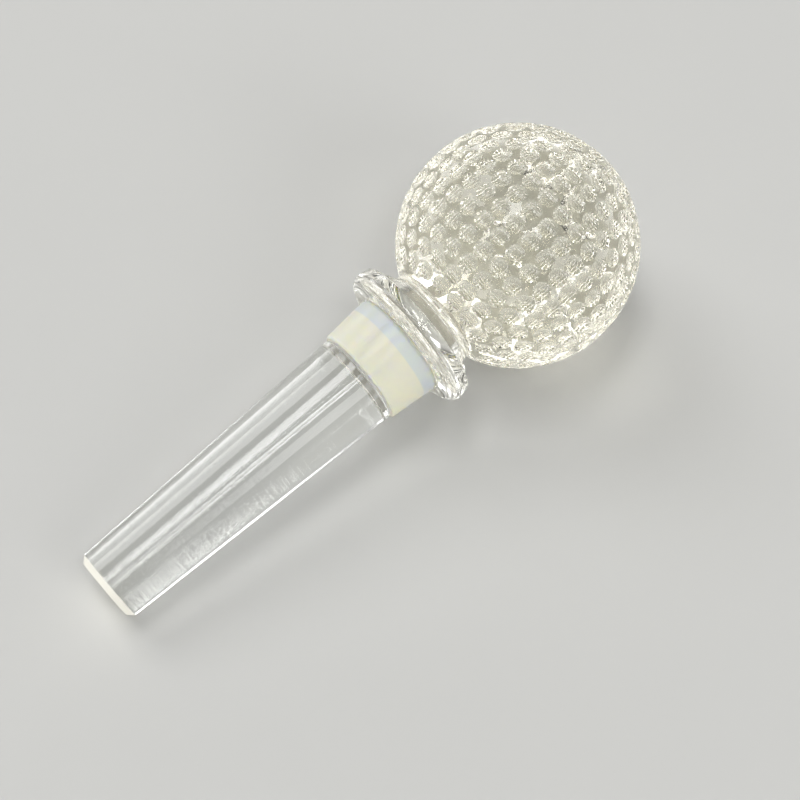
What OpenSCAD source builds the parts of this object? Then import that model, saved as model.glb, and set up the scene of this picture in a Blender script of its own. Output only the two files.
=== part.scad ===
// Bottle stopper, lying on its dimpled ball and the edge of its tip.
// The stopper is drawn along its own axis: the ball's centre is at zero and the tip lies towards +Z.
// It is then laid down as it comes to rest, with the tip towards -X.

/* [Ball] */
// Diameter of the ball that serves as the handle
ball_d = 42.7; // [38:0.1:48]
// Diameter of one dimple at its rim
dimple_d = 3.4; // [2.6:0.05:4.2]
// Depth of one dimple below the plane of its rim
dimple_depth = 0.65; // [0.2:0.05:0.8]
// Land between one ring of dimples and the next
ring_land = 0.06; // [0.04:0.01:0.6]
// Smallest land between neighbours on one ring
dimple_land = 0.35; // [0.1:0.05:1]
// Turn of the mould's parting plane about the stopper's axis, from the top
seam_turn = -24; // [-90:1:90]

/* [Neck and flange] */
// Diameter of the short neck below the ball
neck_d = 18.2; // [14:0.1:22]
// Length of the neck, from where it leaves the ball
neck_l = 1.35; // [0.9:0.05:6]
// Radius of the fillet between ball and neck
neck_fillet = 0.5; // [0.2:0.1:0.6]
// Greatest diameter of the flange
flange_d = 27.5; // [24:0.1:36]
// Height of the sloping top of the flange
flare_h = 2.5; // [1.5:0.1:5]
// Radius of the fillet at the foot of the sloping top
flare_fillet = 0.8; // [0.2:0.1:1]
// Height of the upright band of the rim
rim_h = 1.8; // [1:0.1:4]
// How far the band's upper edge lies inside its lower edge
rim_draft = 0.35; // [0.1:0.05:1]
// Radius of the rim's upper edge
rim_top_round = 0.4; // [0.1:0.1:0.8]
// Radius of the rim's lower edge
rim_round = 2; // [0.5:0.1:2.6]

/* [Seal] */
// Diameter of the seal at its upper end
seal_top_d = 19.4; // [18:0.1:23]
// Diameter of the seal at its lower end
seal_end_d = 17.7; // [17.2:0.1:19]
// Length of the seal
seal_l = 9.6; // [5:0.1:16]
// Depth of the recess under the flange that takes the seal's upper end
seal_recess = 0.3; // [0.1:0.05:0.8]
// Radius of the seal's upper outer edge
seal_top_round = 1; // [0.2:0.1:1.3]
// Radius of the seal's lower outer edge
seal_end_round = 0.5; // [0.1:0.1:0.8]
// Diameter of the groove that the seal sits in
groove_d = 14.4; // [10:0.1:14.8]
// Gap between the seal and each wall of its groove
seal_fit = 0.05; // [0.02:0.01:0.2]

/* [Shank] */
// Diameter of the shank just below the seal
shank_d = 16.8; // [16.2:0.1:17.2]
// Diameter of the shank where the tip's chamfer begins
tip_d = 13.3; // [10:0.1:16]
// Length of the shank below the groove
shank_l = 55.6; // [30:0.1:90]
// Radius of the shank's upper shoulder
shoulder_round = 0.6; // [0.2:0.1:0.7]
// Width of the ground chamfer at the tip
tip_chamfer = 1.1; // [0.4:0.1:2]

/* [Hidden] */
$fn = 96;
ball_r = ball_d / 2;
neck_r = neck_d / 2;
flange_r = flange_d / 2;
groove_r = groove_d / 2;
recess_r = seal_top_d / 2 + seal_fit;
tip_r = tip_d / 2;

// Places along the axis, from the ball's centre towards the tip
ball_end_z = sqrt(ball_r * ball_r - neck_r * neck_r);
neck_end_z = ball_end_z + neck_l;
edge_z = neck_end_z + flare_h;
rim_z = edge_z + rim_h;
seat_z = rim_z + rim_round;
recess_z = seat_z - seal_recess;
groove_end_z = recess_z + seal_l + 2 * seal_fit;
tip_z = groove_end_z + shank_l;
chamfer_z = tip_z - tip_chamfer;

// Corners of the body's section, as [distance from the axis, place along it]
neck_start = [neck_r, ball_end_z];
neck_foot = [neck_r, neck_end_z];
flange_edge = [flange_r - rim_draft, edge_z];
rim_low = [flange_r, rim_z];
rim_corner = [flange_r, seat_z];
seat_in = [recess_r, seat_z];
recess_out = [recess_r, recess_z];
recess_in = [groove_r, recess_z];
groove_end = [groove_r, groove_end_z];
shoulder = [shank_d / 2, groove_end_z];
chamfer_top = [tip_r, chamfer_z];
tip_edge = [tip_r - tip_chamfer, tip_z];

// Dimple pattern: rings of latitude about the axis, one of them on the equator
rim_angle = asin(dimple_d / ball_d);
ring_step = 2 * asin((dimple_d + ring_land) / ball_d);
neck_angle = asin((neck_r + 2 * neck_fillet) / ball_r);
rings_up = floor((90 - rim_angle) / ring_step);
rings_down = floor((90 - rim_angle - neck_angle) / ring_step);

// One dimple is part of a ball that cuts into the big one. Its cutter laps onto the land, above the glass.
dimple_r = (dimple_d * dimple_d / 4 + dimple_depth * dimple_depth) / (2 * dimple_depth);
dimple_centre = ball_r * cos(rim_angle) - dimple_depth + dimple_r;
cutter_lap = 0.4 * ring_land;
cutter_h = 2 * dimple_depth;

// Resting pose: the rim of the lowest dimple and the chamfer's upper edge touch the floor.
ball_rest = ball_r * cos(rim_angle);
rest_tilt = asin(ball_rest / norm(chamfer_top)) - atan2(tip_r, chamfer_z);
tip_x = tip_z * cos(rest_tilt) + tip_edge[0] * sin(rest_tilt);
ball_x = (tip_x - ball_r) / 2;
// The rings start at the parting plane, turned by less than one pitch so that a dimple lies lowest.
floor_pitch = 360 / ring_count(90 + ring_step);
first_turn = 180 - round((180 - seam_turn) / floor_pitch) * floor_pitch;

function unit(v) = v / norm(v);

// Dimples that fit on a ring at a given angle from the ball's pole
function ring_count(angle) = floor(180 / asin(min(1, (dimple_d + dimple_land) / (ball_d * sin(angle)))));

// The sliver between a corner b of a section, with neighbours a and c, and the arc that rounds it
module corner_piece(a, b, c, radius) {
  to_a = unit(a - b);
  to_c = unit(c - b);
  half = acos(to_a * to_c) / 2;
  reach = radius / tan(half);
  difference() {
    polygon([b, b + reach * to_a, b + reach * to_c]);
    translate(b + unit(to_a + to_c) * radius / sin(half)) circle(radius);
  }
}

// The fillet where the neck runs into the ball
module ball_fillet() {
  out_r = neck_r + neck_fillet;
  centre = [out_r, sqrt(pow(ball_r + neck_fillet, 2) - out_r * out_r)];
  difference() {
    polygon([[neck_r, centre[1]], neck_start - [0, neck_fillet], unit(centre) * ball_r]);
    translate(centre) circle(neck_fillet);
  }
}

// Section of the ball
module ball_section() {
  intersection() {
    circle(ball_r);
    translate([0, -ball_r]) square([ball_r, ball_d]);
  }
}

// Section of the body below the ball, with its corners still sharp
module stem_section() {
  polygon([[0, 0], [neck_r, 0], neck_foot, flange_edge, rim_low, rim_corner, seat_in, recess_out, recess_in,
           groove_end, shoulder, chamfer_top, tip_edge, [0, tip_z]]);
}

// Whole section of the glass, without dimples
module body_section() {
  difference() {
    union() {
      ball_section();
      stem_section();
      ball_fillet();
      corner_piece(neck_start, neck_foot, flange_edge, flare_fillet);
    }
    corner_piece(neck_foot, flange_edge, rim_low, rim_top_round);
    corner_piece(rim_low, rim_corner, seat_in, rim_round);
    corner_piece(groove_end, shoulder, chamfer_top, shoulder_round);
  }
}

// Cutter for one dimple, on the axis: a button with a round face
module dimple_cutter() {
  rotate_extrude() intersection() {
    translate([0, dimple_centre]) circle(dimple_r);
    translate([0, dimple_centre - dimple_r]) square([dimple_d / 2 + cutter_lap, cutter_h]);
  }
}

// Every dimple's cutter, ring by ring
module dimples() {
  for (ring = [-rings_down : rings_up]) {
    angle = 90 - ring * ring_step;
    count = ring_count(angle);
    for (i = [0 : count - 1])
      rotate([0, 0, first_turn + i * 360 / count]) rotate([0, 180 - angle, 0]) dimple_cutter();
  }
}

// Lays the stopper down with its tip towards -X and its lowest points on the floor.
module lying() {
  translate([ball_x, 0, ball_rest]) rotate([0, -90 - rest_tilt, 0]) children();
}

// The glass, moulded and ground in one piece
module glass_body() {
  color("Gainsboro") lying() difference() {
    rotate_extrude() body_section();
    dimples();
  }
}

// The tapered ring that seals the bottle's neck, held in the groove between flange and shank
module seal_ring() {
  bore_r = groove_r + seal_fit;
  top_z = recess_z + seal_fit;
  end_z = top_z + seal_l;
  bore_top = [bore_r, top_z];
  bore_end = [bore_r, end_z];
  outer_top = [seal_top_d / 2, top_z];
  outer_end = [seal_end_d / 2, end_z];
  color("LightYellow") lying() rotate_extrude() difference() {
    polygon([bore_top, outer_top, outer_end, bore_end]);
    corner_piece(bore_top, outer_top, outer_end, seal_top_round);
    corner_piece(outer_top, outer_end, bore_end, seal_end_round);
  }
}

glass_body();
seal_ring();
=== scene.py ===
"""Looks of a glass bottle stopper with a dimpled ball for a handle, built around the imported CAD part.

All meshes are modelled along the stopper's own axis: the ball's centre is at zero and the tip lies towards
+Z. They are then laid down as the CAD part lies, with the place kept in the mesh. Blender's unit is the
metre.
"""

import logging
import math
from collections.abc import Callable, Iterator
from dataclasses import dataclass
from enum import Enum

import bpy
from mathutils import Matrix, Vector


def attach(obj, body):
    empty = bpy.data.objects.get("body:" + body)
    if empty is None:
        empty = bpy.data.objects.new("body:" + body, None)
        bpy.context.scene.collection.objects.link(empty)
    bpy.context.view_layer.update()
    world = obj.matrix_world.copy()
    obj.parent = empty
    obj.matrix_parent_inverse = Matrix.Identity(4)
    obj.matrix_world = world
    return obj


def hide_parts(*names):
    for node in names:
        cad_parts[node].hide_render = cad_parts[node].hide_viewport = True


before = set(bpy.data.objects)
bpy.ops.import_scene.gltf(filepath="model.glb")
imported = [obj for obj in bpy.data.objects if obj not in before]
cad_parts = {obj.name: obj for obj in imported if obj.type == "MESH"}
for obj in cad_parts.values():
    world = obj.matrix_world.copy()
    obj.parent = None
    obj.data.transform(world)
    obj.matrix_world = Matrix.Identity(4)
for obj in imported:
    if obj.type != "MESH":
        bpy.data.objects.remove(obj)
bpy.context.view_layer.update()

MM = 0.001
LOG = logging.getLogger("stopper")
WHITE = "#FFFFFF"
BLACK = "#000000"

# Turn of the mould's parting plane about the stopper's axis, from the top
SEAM_TURN = math.radians(-24)
# Refractive index of soda-lime glass
GLASS_IOR = 1.517
# Gap between the seal and each wall of its groove
SEAL_FIT = 0.05 * MM
# Points closer together than this become one
MERGE = 1e-7
# Numbers of a colour Mix node's two inputs and of its output
MIX_A = 6
MIX_B = 7
MIX_OUT = 2

Point = tuple[float, float]
Place = tuple[float, float, float]
Colour = tuple[float, float, float, float]
Tree = bpy.types.NodeTree
Socket = bpy.types.NodeSocket


class Slot(Enum):
    """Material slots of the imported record."""

    GLASS = "glass"
    SEAL = "seal"


class Node(Enum):
    """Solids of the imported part."""

    GLASS = "glass_body"
    SEAL = "seal_ring"


def linear(hex_colour: str) -> Colour:
    """Turns an sRGB hex colour into Blender's linear colour.

    Args:
        hex_colour: six hex digits with a leading #.

    Returns:
        Red, green, blue and alpha, all linear.
    """
    channels = [int(hex_colour[i : i + 2], 16) / 255 for i in (1, 3, 5)]
    red, green, blue = (c / 12.92 if c <= 0.04045 else ((c + 0.055) / 1.055) ** 2.4 for c in channels)
    return red, green, blue, 1.0


def add_node(
    tree: Tree,
    kind: str,
    settings: dict[str | int, object],
    links: dict[str | int, Socket],
) -> bpy.types.Node:
    """Adds a node with its settings and the links into it.

    Args:
        tree: node tree that takes the node.
        kind: Blender's name of the node type.
        settings: attributes of the node, or default values of its inputs by the input's name or number.
        links: output sockets of other nodes, by the name or number of the input that they feed.

    Returns:
        The new node.
    """
    node = tree.nodes.new(kind)
    for name, value in settings.items():
        if isinstance(name, int) or name in node.inputs:
            node.inputs[name].default_value = value
        else:
            setattr(node, name, value)
    for name, socket in links.items():
        tree.links.new(socket, node.inputs[name])
    return node


def new_material(name: str, values: dict[str, object]) -> tuple[bpy.types.Material, Tree, bpy.types.Node]:
    """Makes a material whose shader holds plain values.

    Args:
        name: the material and how it was made.
        values: default values of the shader's inputs.

    Returns:
        The material, its node tree and its shader.
    """
    material = bpy.data.materials.new(name)
    material.use_nodes = True
    shader = material.node_tree.nodes["Principled BSDF"]
    for socket, value in values.items():
        shader.inputs[socket].default_value = value
    return material, material.node_tree, shader


def deselect() -> None:
    """Leaves nothing selected and no object in edit mode."""
    if bpy.context.mode != "OBJECT":
        bpy.ops.object.mode_set(mode="OBJECT")
    bpy.ops.object.select_all(action="DESELECT")


def take(piece: bpy.types.Object) -> None:
    """Selects one object and makes it the active one.

    Args:
        piece: the object.
    """
    deselect()
    piece.select_set(True)
    bpy.context.view_layer.objects.active = piece


def apply_modifier(piece: bpy.types.Object, kind: str, **settings: object) -> None:
    """Adds a modifier to a piece and applies it.

    Args:
        piece: object that gets the modifier.
        kind: Blender's name of the modifier type.
        settings: attributes of the modifier.
    """
    take(piece)
    modifier = piece.modifiers.new(kind.lower(), kind)
    for name, value in settings.items():
        setattr(modifier, name, value)
    bpy.ops.object.modifier_apply(modifier=modifier.name)


def select_faces(piece: bpy.types.Object, test: Callable[[Vector], bool]) -> None:
    """Goes into edit mode with only the faces selected whose middle passes a test.

    Args:
        piece: mesh object.
        test: says of a face's middle, in the object's own frame, whether the face is wanted.
    """
    take(piece)
    bpy.ops.object.mode_set(mode="EDIT")
    bpy.ops.mesh.select_mode(type="FACE")
    bpy.ops.mesh.select_all(action="DESELECT")
    bpy.ops.object.mode_set(mode="OBJECT")
    for face in piece.data.polygons:
        face.select = test(face.center)
    bpy.ops.object.mode_set(mode="EDIT")


def arc(centre: Point, radius: float, start: float, end: float, pieces: int) -> list[Point]:
    """Points along an arc, both ends among them.

    Args:
        centre: middle of the arc's circle.
        radius: its radius.
        start: angle of the first point in radians.
        end: angle of the last point in radians.
        pieces: number of straight pieces.

    Returns:
        Points from start to end.
    """
    turns = [start + (end - start) * i / pieces for i in range(pieces + 1)]
    return [(centre[0] + radius * math.cos(t), centre[1] + radius * math.sin(t)) for t in turns]


def rounded(before: Point, corner: Point, after: Point, radius: float, pieces: int) -> list[Point]:
    """Points of the arc that rounds a corner.

    Args:
        before: neighbour that the line comes from.
        corner: the sharp corner.
        after: neighbour that the line goes to.
        radius: radius of the arc.
        pieces: number of straight pieces in the arc.

    Returns:
        Points from the line before to the line after.
    """
    tip = Vector(corner)
    back = (Vector(before) - tip).normalized()
    on = (Vector(after) - tip).normalized()
    half = back.angle(on) / 2
    centre = tip + (back + on).normalized() * (radius / math.sin(half))
    first = tip + back * (radius / math.tan(half)) - centre
    last = tip + on * (radius / math.tan(half)) - centre
    start = math.atan2(first.y, first.x)
    sweep = math.remainder(math.atan2(last.y, last.x) - start, math.tau)
    return arc(tuple(centre), radius, start, start + sweep, pieces)


def turned(name: str, section: list[Point], steps: int, closed: bool) -> bpy.types.Object:
    """Turns a section about the stopper's axis, as on a lathe.

    Args:
        name: name of the new object.
        section: points as distance from the axis and place along it.
        steps: number of steps round the axis.
        closed: whether the last point joins the first, as on a ring.

    Returns:
        A closed mesh object with its faces outwards.
    """
    deselect()
    bpy.ops.mesh.primitive_plane_add(size=MM)
    piece = bpy.context.object
    piece.name = piece.data.name = name
    bpy.ops.object.mode_set(mode="EDIT")
    bpy.ops.mesh.select_mode(type="VERT")
    bpy.ops.mesh.merge(type="CENTER")
    path = section + section[:1] if closed else section
    bpy.ops.transform.translate(value=(path[0][0], 0, path[0][1]))
    for (r0, z0), (r1, z1) in zip(path, path[1:]):
        bpy.ops.mesh.extrude_region_move(TRANSFORM_OT_translate={"value": (r1 - r0, 0, z1 - z0)})
    bpy.ops.mesh.select_all(action="SELECT")
    bpy.ops.mesh.remove_doubles(threshold=MERGE)
    bpy.ops.mesh.spin(steps=steps, angle=math.tau, center=(0, 0, 0), axis=(0, 0, 1))
    bpy.ops.mesh.select_all(action="SELECT")
    bpy.ops.mesh.remove_doubles(threshold=MERGE)
    bpy.ops.mesh.normals_make_consistent(inside=False)
    bpy.ops.object.mode_set(mode="OBJECT")
    return piece


@dataclass(frozen=True)
class Lie:
    """How the stopper lies: on the rim of its lowest dimple and on the upper edge of the tip's chamfer."""

    ball_x: float
    ball_z: float
    tilt: float

    @property
    def turn(self) -> Place:
        """Turn of the stopper's axis from upright."""
        return 0.0, -math.pi / 2 - self.tilt, 0.0

    @property
    def place(self) -> Place:
        """Place of the ball's centre above the floor."""
        return self.ball_x, 0.0, self.ball_z

    def lay(self, piece: bpy.types.Object) -> None:
        """Lays a piece down and keeps its place in its mesh.

        Args:
            piece: object that was modelled along the stopper's axis.
        """
        take(piece)
        piece.rotation_euler = self.turn
        piece.location = self.place
        bpy.ops.object.transform_apply(location=True, rotation=True, scale=True)

    def along_axis(self, tree: Tree) -> Socket:
        """Adds nodes that give a material the stopper's own frame.

        Args:
            tree: the material's node tree.

        Returns:
            Vector socket: X and Y across the axis, Z along it, from the ball's centre.
        """
        where = add_node(tree, "ShaderNodeTexCoord", {}, {})
        turned_back = add_node(
            tree,
            "ShaderNodeMapping",
            {"vector_type": "TEXTURE", "Location": self.place, "Rotation": self.turn},
            {"Vector": where.outputs["Object"]},
        )
        return turned_back.outputs["Vector"]


@dataclass(frozen=True)
class PressedGlass:
    """Soda-lime glass, pressed in a mould and fire polished.

    It is clear, and faintly warm where it is thick. Its skin has a soft waviness, the mould's two seams
    along neck and shank, and fine marks round the shank from fitting.
    """

    lie: Lie
    thick_tint: str = "#FCF9EA"
    thin_tint: str = "#F9FAF8"
    # Where the tint fades along the axis, from the ball to the shank
    tint_z: Point = (12.0 * MM, 37.0 * MM)
    # Distance between waves, and their height
    wave: float = 5.0 * MM
    wave_depth: float = 0.006 * MM
    # Where the seams run along the axis, their distance from it, half their width and their height
    seam_z: Point = (19.0 * MM, 91.0 * MM)
    seam_r: float = 11.0 * MM
    seam_w: float = 0.25 * MM
    seam_depth: float = 0.03 * MM
    # Where the fitting marks run along the axis, their distance from it, length, width and depth at the tip.
    # The real ones are finer: they are drawn as coarse as they need to show.
    shank_z: Point = (37.0 * MM, 91.0 * MM)
    shank_r: float = 7.6 * MM
    mark_l: float = 3.0 * MM
    mark_w: float = 0.3 * MM
    mark_depth: float = 0.03 * MM
    # Share of that depth just below the seal
    mark_start: float = 0.3

    def make(self) -> bpy.types.Material:
        """Makes the material.

        Returns:
            The material with all its nodes.
        """
        values = {"Roughness": 0.0, "IOR": GLASS_IOR, "Transmission Weight": 1.0}
        material, tree, shader = new_material("pressed_soda_lime_glass", values)
        place = self.lie.along_axis(tree)
        parts = add_node(tree, "ShaderNodeSeparateXYZ", {}, {"Vector": place})
        along = parts.outputs["Z"]
        sides = {0: parts.outputs["Y"], 1: parts.outputs["X"]}
        about = add_node(tree, "ShaderNodeMath", {"operation": "ARCTAN2"}, sides).outputs[0]
        tree.links.new(self.tint(tree, along), shader.inputs["Base Color"])
        height = self.waves(tree, place)
        for other in (self.seams(tree, along, about), self.marks(tree, along, about)):
            height = add_node(tree, "ShaderNodeMath", {"operation": "ADD"}, {0: height, 1: other}).outputs[0]
        bump = add_node(tree, "ShaderNodeBump", {"Strength": 1.0, "Distance": 1.0}, {"Height": height})
        tree.links.new(bump.outputs["Normal"], shader.inputs["Normal"])
        return material

    def tint(self, tree: Tree, along: Socket) -> Socket:
        """Colours the thick glass of the ball a little warmer than the shank, with the flange between them.

        Args:
            tree: the material's node tree.
            along: place along the axis.

        Returns:
            Colour socket.
        """
        fade = add_node(
            tree,
            "ShaderNodeMapRange",
            {"interpolation_type": "SMOOTHSTEP", "From Min": self.tint_z[0], "From Max": self.tint_z[1]},
            {"Value": along},
        )
        mixed = add_node(
            tree,
            "ShaderNodeMix",
            {"data_type": "RGBA", MIX_A: linear(self.thick_tint), MIX_B: linear(self.thin_tint)},
            {"Factor": fade.outputs["Result"]},
        )
        return mixed.outputs[MIX_OUT]

    def waves(self, tree: Tree, place: Socket) -> Socket:
        """Adds the soft waviness left by the mould.

        Args:
            tree: the material's node tree.
            place: place in the stopper's own frame.

        Returns:
            Height socket.
        """
        pattern = {"Scale": 1 / self.wave, "Detail": 1.0}
        skin = add_node(tree, "ShaderNodeTexNoise", pattern, {"Vector": place})
        scale = {"operation": "MULTIPLY", 1: self.wave_depth}
        return add_node(tree, "ShaderNodeMath", scale, {0: skin.outputs["Fac"]}).outputs[0]

    def seams(self, tree: Tree, along: Socket, about: Socket) -> Socket:
        """Adds the two mould seams, half a turn apart, from the neck to the tip.

        Args:
            tree: the material's node tree.
            along: place along the axis.
            about: angle about the axis.

        Returns:
            Height socket.
        """
        turned_on = add_node(tree, "ShaderNodeMath", {"operation": "SUBTRACT", 1: SEAM_TURN}, {0: about})
        fold = {"operation": "PINGPONG", 1: math.pi / 2}
        folded = add_node(tree, "ShaderNodeMath", fold, {0: turned_on.outputs[0]})
        line = add_node(
            tree,
            "ShaderNodeMapRange",
            {
                "interpolation_type": "SMOOTHSTEP",
                "From Min": 0.0,
                "From Max": self.seam_w / self.seam_r,
                "To Min": self.seam_depth,
                "To Max": 0.0,
            },
            {"Value": folded.outputs[0]},
        )
        return self.between(tree, line.outputs["Result"], along, self.seam_z)

    def marks(self, tree: Tree, along: Socket, about: Socket) -> Socket:
        """Adds the fine marks round the shank, deeper towards the tip.

        Args:
            tree: the material's node tree.
            along: place along the axis.
            about: angle about the axis.

        Returns:
            Height socket.
        """
        stretch = {"operation": "MULTIPLY", 1: self.shank_r / self.mark_l}
        squeeze = {"operation": "MULTIPLY", 1: 1 / self.mark_w}
        across = add_node(tree, "ShaderNodeMath", stretch, {0: about})
        down = add_node(tree, "ShaderNodeMath", squeeze, {0: along})
        sides = {"X": across.outputs[0], "Y": down.outputs[0]}
        where = add_node(tree, "ShaderNodeCombineXYZ", {}, sides)
        pattern = {"Scale": 1.0, "Detail": 2.0}
        grain = add_node(tree, "ShaderNodeTexNoise", pattern, {"Vector": where.outputs[0]})
        depth = add_node(
            tree,
            "ShaderNodeMapRange",
            {
                "From Min": self.shank_z[0],
                "From Max": self.shank_z[1],
                "To Min": self.mark_start * self.mark_depth,
                "To Max": self.mark_depth,
            },
            {"Value": along},
        )
        factors = {0: grain.outputs["Fac"], 1: depth.outputs["Result"]}
        height = add_node(tree, "ShaderNodeMath", {"operation": "MULTIPLY"}, factors)
        return self.between(tree, height.outputs[0], along, self.shank_z)

    def between(self, tree: Tree, value: Socket, along: Socket, ends: Point) -> Socket:
        """Keeps a value between two places along the axis and makes it zero elsewhere.

        Args:
            tree: the material's node tree.
            value: the value.
            along: place along the axis.
            ends: the two places.

        Returns:
            Value socket.
        """
        after = add_node(tree, "ShaderNodeMath", {"operation": "GREATER_THAN", 1: ends[0]}, {0: along})
        before = add_node(tree, "ShaderNodeMath", {"operation": "LESS_THAN", 1: ends[1]}, {0: along})
        both = {0: after.outputs[0], 1: before.outputs[0]}
        inside = add_node(tree, "ShaderNodeMath", {"operation": "MULTIPLY"}, both)
        kept = {0: value, 1: inside.outputs[0]}
        return add_node(tree, "ShaderNodeMath", {"operation": "MULTIPLY"}, kept).outputs[0]


@dataclass(frozen=True)
class GroundGlass:
    """The same glass ground flat with coarse grit: a frosted, creamy white skin that still lets light in."""

    lie: Lie
    tint: str = "#FFFCF0"
    roughness: float = 0.5
    transmission: float = 0.2
    # Width and depth of the scratches. Real grit is finer: it is drawn as coarse as it needs to show.
    grit: float = 0.25 * MM
    grit_depth: float = 0.03 * MM

    def make(self) -> bpy.types.Material:
        """Makes the material.

        Returns:
            The material with all its nodes.
        """
        values = {
            "Base Color": linear(self.tint),
            "Roughness": self.roughness,
            "IOR": GLASS_IOR,
            "Transmission Weight": self.transmission,
        }
        material, tree, shader = new_material("ground_frosted_glass", values)
        place = self.lie.along_axis(tree)
        pattern = {"Scale": 1 / self.grit, "Detail": 2.0}
        grain = add_node(tree, "ShaderNodeTexNoise", pattern, {"Vector": place})
        bump = add_node(
            tree,
            "ShaderNodeBump",
            {"Strength": 1.0, "Distance": self.grit_depth},
            {"Height": grain.outputs["Fac"]},
        )
        tree.links.new(bump.outputs["Normal"], shader.inputs["Normal"])
        return material


@dataclass(frozen=True)
class SealPolymer:
    """Milky silicone, injection moulded: light sinks in and scatters.

    It glows cream from behind. Its upper band has painted shade: a darker, bluish colour where the flange
    shades it. The faces against the glass have painted light: a near white, so that they stay light through
    the glass.
    """

    lie: Lie
    # The upper band's colour is painted shade of the flange: darker and bluer than the body
    upper: str = "#C5CCCD"
    lower: str = "#D5D4C6"
    # The near white of the faces against the glass is painted light, so that they stay light through the
    # glass
    painted_light_faces: str = "#FFFCF6"
    roughness: float = 0.3
    ior: float = 1.41
    # How far light scatters, and the share of that for red, green and blue
    scatter: float = 5.0 * MM
    spread: Place = (1.0, 0.8, 0.22)
    # Where the upper band's painted shade ends, and the faces painted light: above a place and within a
    # radius
    band_z: float = 29.8 * MM
    top_z: float = 27.0 * MM
    face_r: float = 8.3 * MM
    # Half the width of the soft edge between two colours
    edge: float = 0.15 * MM

    def make(self) -> bpy.types.Material:
        """Makes the material.

        Returns:
            The material with all its nodes.
        """
        values = {
            "Roughness": self.roughness,
            "IOR": self.ior,
            "Subsurface Radius": self.spread,
            "Subsurface Scale": self.scatter,
        }
        material, tree, shader = new_material("moulded_milky_silicone", values)
        place = self.lie.along_axis(tree)
        along = add_node(tree, "ShaderNodeSeparateXYZ", {}, {"Vector": place}).outputs["Z"]
        across = add_node(tree, "ShaderNodeVectorMath", {"operation": "MULTIPLY", 1: (1, 1, 0)}, {0: place})
        radius = add_node(tree, "ShaderNodeVectorMath", {"operation": "LENGTH"}, {0: across.outputs[0]})
        ways = along, radius.outputs["Value"]
        # Base colour: painted shade on the upper band, painted light on the faces against the glass
        colour = self.zones(tree, *ways, self.upper, self.lower, self.painted_light_faces)
        tree.links.new(colour, shader.inputs["Base Color"])
        # The faces against the glass are plain, because scattering there would look dark through the glass
        tree.links.new(self.zones(tree, *ways, WHITE, WHITE, BLACK), shader.inputs["Subsurface Weight"])
        return material

    def zones(
        self, tree: Tree, along: Socket, radius: Socket, upper: str, lower: str, painted_light_faces: str
    ) -> Socket:
        """Gives the upper band, the body below it and the faces against the glass a colour each: the band's
        base colour is painted shade, the faces' is painted light.

        Args:
            tree: the material's node tree.
            along: place along the axis.
            radius: distance from the axis.
            upper: colour of the upper band, painted shade in the base colour.
            lower: colour of the body.
            painted_light_faces: colour of the bore and of both ends.

        Returns:
            Colour socket.
        """
        body = self.parted(tree, along, self.band_z, upper, lower)
        body = self.parted(tree, along, self.top_z, painted_light_faces, body)
        return self.parted(tree, radius, self.face_r, painted_light_faces, body)

    def parted(
        self, tree: Tree, value: Socket, at: float, before: str | Socket, after: str | Socket
    ) -> Socket:
        """Joins two colours at a place, with a soft edge.

        Args:
            tree: the material's node tree.
            value: place along the axis or distance from it.
            at: where the colour changes.
            before: colour below that place, as hex or from another node.
            after: colour above it, as hex or from another node.

        Returns:
            Colour socket.
        """
        fade = add_node(
            tree,
            "ShaderNodeMapRange",
            {"interpolation_type": "SMOOTHSTEP", "From Min": at - self.edge, "From Max": at + self.edge},
            {"Value": value},
        )
        mixed = add_node(tree, "ShaderNodeMix", {"data_type": "RGBA"}, {"Factor": fade.outputs["Result"]})
        for number, colour in ((MIX_A, before), (MIX_B, after)):
            if isinstance(colour, str):
                mixed.inputs[number].default_value = linear(colour)
            else:
                tree.links.new(colour, mixed.inputs[number])
        return mixed.outputs[MIX_OUT]


@dataclass(frozen=True)
class StudioPaint:
    """Matt pale paint of the studio floor."""

    colour: str = "#CECECB"
    roughness: float = 0.9
    specular: float = 0.2

    def make(self) -> bpy.types.Material:
        """Makes the material.

        Returns:
            The material.
        """
        values = {
            "Base Color": linear(self.colour),
            "Roughness": self.roughness,
            "Specular IOR Level": self.specular,
        }
        return new_material("matt_floor_paint", values)[0]


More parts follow.
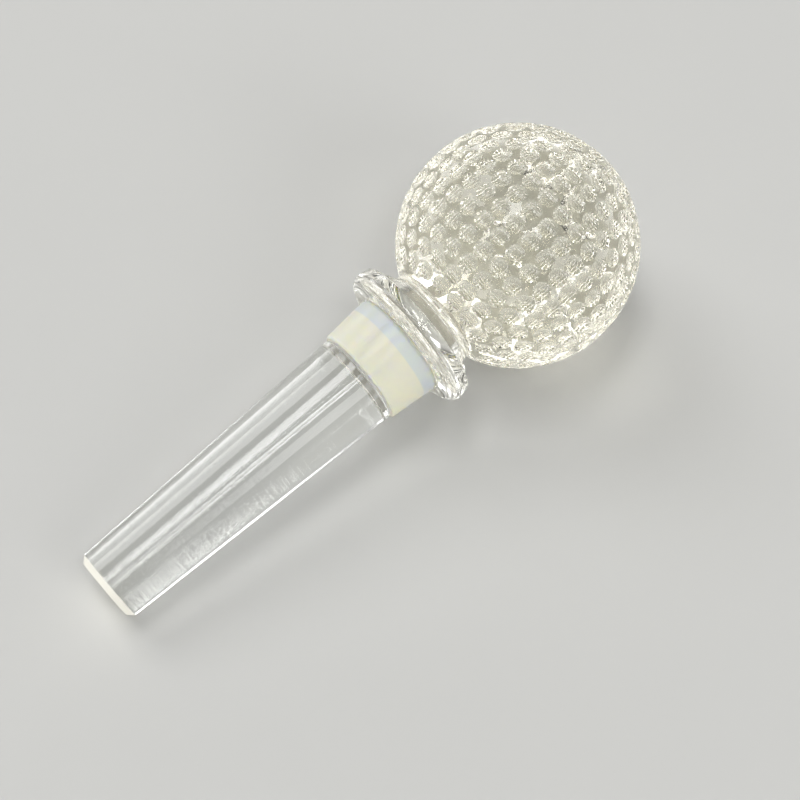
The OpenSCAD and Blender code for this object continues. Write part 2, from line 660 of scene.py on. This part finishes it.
@dataclass(frozen=True)
class Dimples:
    """Dimples of the ball: rings of latitude about the stopper's axis, one of them on the equator."""

    ball_d: float = 42.7 * MM
    width: float = 3.4 * MM
    depth: float = 0.65 * MM
    # Land between one ring and the next, and the smallest land between neighbours on one ring
    ring_land: float = 0.06 * MM
    land: float = 0.35 * MM
    # Radius round the neck that stays free of dimples
    clear_r: float = 10.1 * MM
    # Where the cutter's bowl gives way to its eased edge, and that edge's radius, last slope and lap
    bowl_r: float = 1.685 * MM
    rim_round: float = 0.12 * MM
    rim_slope: float = math.radians(8)
    lap: float = 0.02 * MM
    bowl_pieces: int = 5
    rim_pieces: int = 2
    corners: int = 18

    @property
    def rim_angle(self) -> float:
        """Angle from a dimple's middle to its rim, seen from the ball's centre."""
        return math.asin(self.width / self.ball_d)

    @property
    def ring_step(self) -> float:
        """Angle from one ring to the next."""
        return 2 * math.asin((self.width + self.ring_land) / self.ball_d)

    @property
    def cut_r(self) -> float:
        """Radius of the ball that cuts one dimple."""
        return (self.width**2 / 4 + self.depth**2) / (2 * self.depth)

    def count(self, angle: float) -> int:
        """Dimples that fit on a ring at an angle from the ball's pole."""
        share = (self.width + self.land) / (self.ball_d * math.sin(angle))
        return math.floor(math.pi / math.asin(min(1.0, share)))

    def turns(self, parity: int) -> Iterator[Matrix]:
        """Yields the turns that carry a dimple from the axis to its places on every other ring.

        Args:
            parity: 0 for the rings from the equator on, 1 for those between them.

        Returns:
            Turns about the ball's centre.
        """
        neck = math.asin(self.clear_r / (self.ball_d / 2))
        up = math.floor((math.pi / 2 - self.rim_angle) / self.ring_step)
        down = math.floor((math.pi / 2 - self.rim_angle - neck) / self.ring_step)
        # The rings start at the parting plane, turned by less than one pitch so that a dimple lies lowest
        pitch = math.tau / self.count(math.pi / 2 + self.ring_step)
        first = math.pi - round((math.pi - SEAM_TURN) / pitch) * pitch
        for ring in range(-down, up + 1):
            if ring % 2 != parity:
                continue
            angle = math.pi / 2 - ring * self.ring_step
            total = self.count(angle)
            for i in range(total):
                about = Matrix.Rotation(first + i * math.tau / total, 4, "Z")
                yield about @ Matrix.Rotation(math.pi - angle, 4, "Y")

    def section(self) -> list[Point]:
        """Draws the section of one cutter on the axis: a bowl, its eased edge and a lid above the ball.

        Returns:
            Points as distance from the axis and place along it.
        """
        bottom = self.ball_d / 2 * math.cos(self.rim_angle) - self.depth
        steep = math.asin(self.bowl_r / self.cut_r)
        down = -math.pi / 2
        bowl = arc((0, bottom + self.cut_r), self.cut_r, down, steep + down, self.bowl_pieces)
        bowl[0] = (0.0, bottom)
        rim_r = self.bowl_r + self.rim_round * math.sin(steep)
        rim_z = bowl[-1][1] - self.rim_round * math.cos(steep)
        flat = math.pi / 2 + self.rim_slope
        rim = arc((rim_r, rim_z), self.rim_round, math.pi / 2 + steep, flat, self.rim_pieces)[1:]
        edge_r = rim[-1][0] + self.lap
        edge_z = rim[-1][1] + self.lap * math.tan(self.rim_slope)
        lid_z = edge_z + self.depth
        return [*bowl, *rim, (edge_r, edge_z), (edge_r, lid_z), (0.0, lid_z)]

    def cutter(self, parity: int) -> bpy.types.Object:
        """Models one cutter on the axis and copies it to its places on every other ring.

        Args:
            parity: 0 for the rings from the equator on, 1 for those between them.

        Returns:
            All these cutters, joined.
        """
        button = turned("cutter", self.section(), self.corners, closed=False)
        copies = []
        for turn in self.turns(parity):
            copy = button.copy()
            copy.data = button.data.copy()
            copy.matrix_world = turn
            bpy.context.collection.objects.link(copy)
            copies.append(copy)
        bpy.data.objects.remove(button)
        deselect()
        for copy in copies:
            copy.select_set(True)
        bpy.context.view_layer.objects.active = copies[0]
        bpy.ops.object.join()
        bpy.ops.object.transform_apply(location=True, rotation=True, scale=True)
        return bpy.context.object


@dataclass(frozen=True)
class GlassBody:
    """The glass: dimpled ball, neck, flange, groove for the seal and tapered shank with a ground tip."""

    lie: Lie
    dimples: Dimples = Dimples()
    ball_r: float = 21.35 * MM
    neck_r: float = 9.1 * MM
    neck_l: float = 1.35 * MM
    neck_fillet: float = 0.5 * MM
    flange_r: float = 13.75 * MM
    flare_h: float = 2.5 * MM
    flare_fillet: float = 0.8 * MM
    rim_h: float = 1.8 * MM
    rim_draft: float = 0.35 * MM
    rim_top_round: float = 0.4 * MM
    rim_round: float = 2.0 * MM
    recess_r: float = 9.75 * MM
    recess_h: float = 0.3 * MM
    groove_r: float = 7.2 * MM
    groove_l: float = 9.7 * MM
    shank_r: float = 8.4 * MM
    tip_r: float = 6.65 * MM
    shank_l: float = 55.6 * MM
    shoulder_round: float = 0.6 * MM
    tip_chamfer: float = 1.1 * MM
    # Steps round the axis, and straight pieces of each curve of the section
    steps: int = 144
    ball_pieces: int = 88
    neck_pieces: int = 10
    flare_pieces: int = 14
    rim_top_pieces: int = 10
    rim_pieces: int = 24
    shoulder_pieces: int = 12
    shank_pieces: int = 16
    # Edges sharper than this stay sharp
    smooth_angle: float = math.radians(22)

    @property
    def neck_z(self) -> float:
        """Place along the axis where the neck leaves the ball."""
        return math.sqrt(self.ball_r**2 - self.neck_r**2)

    @property
    def seat_z(self) -> float:
        """Place of the flange's flat underside."""
        return self.neck_z + self.neck_l + self.flare_h + self.rim_h + self.rim_round

    @property
    def tip_z(self) -> float:
        """Place of the tip's end face."""
        return self.seat_z - self.recess_h + self.groove_l + self.shank_l

    def section(self) -> list[Point]:
        """Draws the body's section from the ball's pole to the middle of the tip.

        Returns:
            Points as distance from the axis and place along it.
        """
        foot_z = self.neck_z + self.neck_l
        edge_z = foot_z + self.flare_h
        rim_z = edge_z + self.rim_h
        recess_z = self.seat_z - self.recess_h
        end_z = recess_z + self.groove_l
        chamfer_z = self.tip_z - self.tip_chamfer
        start = (self.neck_r, self.neck_z)
        foot = (self.neck_r, foot_z)
        edge = (self.flange_r - self.rim_draft, edge_z)
        low = (self.flange_r, rim_z)
        corner = (self.flange_r, self.seat_z)
        seat = (self.recess_r, self.seat_z)
        groove_end = (self.groove_r, end_z)
        shoulder = (self.shank_r, end_z)
        chamfer = (self.tip_r, chamfer_z)
        out_r = self.neck_r + self.neck_fillet
        fillet_z = math.sqrt((self.ball_r + self.neck_fillet) ** 2 - out_r**2)
        leave = math.atan2(fillet_z, out_r)
        ball = arc((0, 0), self.ball_r, -math.pi / 2, leave, self.ball_pieces)
        ball[0] = (0.0, -self.ball_r)
        shank = [
            (
                self.shank_r + (self.tip_r - self.shank_r) * i / self.shank_pieces,
                end_z + (chamfer_z - end_z) * i / self.shank_pieces,
            )
            for i in range(1, self.shank_pieces)
        ]
        return [
            *ball,
            *arc((out_r, fillet_z), self.neck_fillet, leave + math.pi, math.pi, self.neck_pieces)[1:],
            *rounded(start, foot, edge, self.flare_fillet, self.flare_pieces),
            *rounded(foot, edge, low, self.rim_top_round, self.rim_top_pieces),
            *rounded(low, corner, seat, self.rim_round, self.rim_pieces),
            seat,
            (self.recess_r, recess_z),
            (self.groove_r, recess_z),
            groove_end,
            *rounded(groove_end, shoulder, chamfer, self.shoulder_round, self.shoulder_pieces),
            *shank,
            chamfer,
            (self.tip_r - self.tip_chamfer, self.tip_z),
            (0.0, self.tip_z),
        ]

    def build(self) -> bpy.types.Object:
        """Models the glass along the stopper's axis.

        Returns:
            The mesh, without materials.
        """
        body = turned("glass", self.section(), self.steps, closed=False)
        # Neighbouring rings all but touch, so every other ring is cut in one pass
        for parity in (0, 1):
            cutter = self.dimples.cutter(parity)
            apply_modifier(body, "BOOLEAN", operation="DIFFERENCE", solver="MANIFOLD", object=cutter)
            bpy.data.objects.remove(cutter)
        return body

    def dress(self, body: bpy.types.Object) -> None:
        """Gives the glass its finishes, clear all over and ground on chamfer and end face, and lays it down.

        Args:
            body: the mesh from build.
        """
        body.data.materials.clear()
        body.data.materials.append(PressedGlass(self.lie).make())
        body.data.materials.append(GroundGlass(self.lie).make())
        ground_z = self.tip_z - self.tip_chamfer
        select_faces(body, lambda middle: middle.z > ground_z)
        body.active_material_index = 1
        bpy.ops.object.material_slot_assign()
        bpy.ops.object.mode_set(mode="OBJECT")
        bpy.ops.object.shade_smooth_by_angle(angle=self.smooth_angle)
        self.lie.lay(body)
        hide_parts(Node.GLASS.value)
        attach(body, "root")


@dataclass(frozen=True)
class SealRing:
    """The tapered ring of milky polymer in the groove between flange and shank."""

    lie: Lie
    top_z: float
    bore_r: float = 7.25 * MM
    top_r: float = 9.7 * MM
    end_r: float = 8.85 * MM
    length: float = 9.6 * MM
    top_round: float = 1.0 * MM
    end_round: float = 0.5 * MM
    steps: int = 128
    top_pieces: int = 8
    end_pieces: int = 6
    # Edges sharper than this stay sharp
    smooth_angle: float = math.radians(40)

    def build(self) -> bpy.types.Object:
        """Models the ring along the stopper's axis.

        Returns:
            The mesh, without materials.
        """
        end_z = self.top_z + self.length
        bore_top = (self.bore_r, self.top_z)
        bore_end = (self.bore_r, end_z)
        top = (self.top_r, self.top_z)
        end = (self.end_r, end_z)
        section = [
            bore_top,
            *rounded(bore_top, top, end, self.top_round, self.top_pieces),
            *rounded(top, end, bore_end, self.end_round, self.end_pieces),
            bore_end,
        ]
        return turned("seal", section, self.steps, closed=True)

    def dress(self, ring: bpy.types.Object) -> None:
        """Gives the ring its finish and lays it down.

        Args:
            ring: the mesh from build.
        """
        ring.data.materials.clear()
        ring.data.materials.append(SealPolymer(self.lie).make())
        take(ring)
        bpy.ops.object.shade_smooth_by_angle(angle=self.smooth_angle)
        self.lie.lay(ring)
        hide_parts(Node.SEAL.value)
        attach(ring, "root")


@dataclass(frozen=True)
class SoftBox:
    """A soft box that faces the part; its size is its length along X and its width."""

    name: str
    place: Place
    size: Point
    watts: float

    def hang(self) -> None:
        """Adds the lamp to the scene."""
        deselect()
        bpy.ops.object.light_add(type="AREA", location=self.place)
        lamp = bpy.context.object
        lamp.name = self.name
        lamp.data.shape = "RECTANGLE"
        lamp.data.size, lamp.data.size_y = self.size
        lamp.data.energy = self.watts
        lamp.rotation_euler = (-Vector(self.place)).to_track_quat("-Z", "Y").to_euler()


@dataclass(frozen=True)
class Studio:
    """Pale floor, soft light and the camera at the photograph's viewing angle."""

    eye: Place = (-92.8 * MM, -120.65 * MM, 283.8 * MM)
    azimuth: float = math.radians(-40.0)
    elevation: float = math.radians(61.25)
    lens_mm: float = 81.0
    sensor_mm: float = 36.0
    clip_start: float = 1.0 * MM
    floor_r: float = 4.0
    floor_sides: int = 96
    # Windows round the room, and the strength of their light, of the piers between them and of the ceiling
    windows: int = 13
    walls: float = 4.6
    piers: float = 0.6
    ceiling: float = 0.08
    # Where a pier gives way to a window, as the sine of the turn from one to the next
    pier_edge: Point = (-0.7, 0.0)
    # Where the windows end and where the ceiling begins, as the sine of the height above the horizon
    wall_top: Point = (0.03, 0.45)
    boxes: tuple[SoftBox, ...] = (
        SoftBox("front", (-0.19, -0.85, 1.88), (0.5, 0.4), 7.0),
        SoftBox("strip", (-0.15, 0.18, 2.0), (1.0, 0.5), 12.5),
        SoftBox("key", (-0.25, 1.38, 1.5), (1.0, 1.0), 12.5),
        SoftBox("fill", (0.12, -1.5, 1.12), (0.75, 0.75), 6.2),
    )
    bounces: int = 40

    def floor(self) -> None:
        """Lays the floor, a wide disc."""
        deselect()
        bpy.ops.mesh.primitive_circle_add(vertices=self.floor_sides, radius=self.floor_r, fill_type="NGON")
        floor = bpy.context.object
        floor.name = "floor"
        floor.data.materials.append(StudioPaint().make())

    def light(self) -> None:
        """Sets the room's own light and hangs the soft boxes."""
        world = bpy.data.worlds.new("studio")
        world.use_nodes = True
        bpy.context.scene.world = world
        tree = world.node_tree
        back = tree.nodes["Background"]
        back.inputs["Color"].default_value = linear(WHITE)
        tree.links.new(self.room(tree), back.inputs["Strength"])
        for box in self.boxes:
            box.hang()

    def room(self, tree: Tree) -> Socket:
        """Adds a room with windows in its walls and a dim ceiling.

        Windows between dim piers leave the ball's lower half its shape. Evenly bright walls clip it to
        white.

        Args:
            tree: the world's node tree.

        Returns:
            Strength of the light from each way.
        """
        way = add_node(tree, "ShaderNodeTexCoord", {}, {})
        parts = add_node(tree, "ShaderNodeSeparateXYZ", {}, {"Vector": way.outputs["Generated"]})
        sides = {0: parts.outputs["Y"], 1: parts.outputs["X"]}
        about = add_node(tree, "ShaderNodeMath", {"operation": "ARCTAN2"}, sides)
        times = {"operation": "MULTIPLY", 1: self.windows}
        repeated = add_node(tree, "ShaderNodeMath", times, {0: about.outputs[0]})
        swing = add_node(tree, "ShaderNodeMath", {"operation": "SINE"}, {0: repeated.outputs[0]})
        wall = add_node(
            tree,
            "ShaderNodeMapRange",
            {
                "interpolation_type": "SMOOTHSTEP",
                "From Min": self.pier_edge[0],
                "From Max": self.pier_edge[1],
                "To Min": self.piers,
                "To Max": self.walls,
            },
            {"Value": swing.outputs[0]},
        )
        level = add_node(
            tree,
            "ShaderNodeMapRange",
            {
                "interpolation_type": "SMOOTHSTEP",
                "From Min": self.wall_top[0],
                "From Max": self.wall_top[1],
                "To Max": self.ceiling,
            },
            {"Value": parts.outputs["Z"], "To Min": wall.outputs["Result"]},
        )
        return level.outputs["Result"]

    def paths(self) -> None:
        """Lets light bounce until it leaves the glass, where it is caught between polished faces."""
        cycles = bpy.context.scene.cycles
        cycles.max_bounces = self.bounces
        cycles.transmission_bounces = self.bounces
        cycles.glossy_bounces = self.bounces

    def camera(self) -> None:
        """Sets up the camera, level, with the photograph's lens."""
        look = Vector(
            (
                -math.sin(self.azimuth) * math.cos(self.elevation),
                math.cos(self.azimuth) * math.cos(self.elevation),
                -math.sin(self.elevation),
            )
        )
        deselect()
        bpy.ops.object.camera_add(location=self.eye, rotation=look.to_track_quat("-Z", "Y").to_euler())
        camera = bpy.context.object
        camera.data.lens = self.lens_mm
        camera.data.sensor_width = self.sensor_mm
        camera.data.clip_start = self.clip_start
        bpy.context.scene.camera = camera


def main() -> None:
    """Builds the stage and the pieces in order."""
    logging.basicConfig(level=logging.INFO, format="%(name)s: %(message)s")
    bpy.context.scene.view_settings.view_transform = "Standard"
    studio = Studio()
    studio.camera()
    studio.floor()
    studio.light()
    studio.paths()
    lie = Lie(ball_x=35.1489 * MM, ball_z=21.2822 * MM, tilt=math.radians(9.3231))
    glass = GlassBody(lie)
    body = glass.build()
    glass.dress(body)
    LOG.info("%s: %d faces", body.name, len(body.data.polygons))
    seal = SealRing(lie, top_z=glass.seat_z - glass.recess_h + SEAL_FIT)
    ring = seal.build()
    seal.dress(ring)
    LOG.info("%s: %d faces", ring.name, len(ring.data.polygons))


if __name__ == "__main__":
    main()
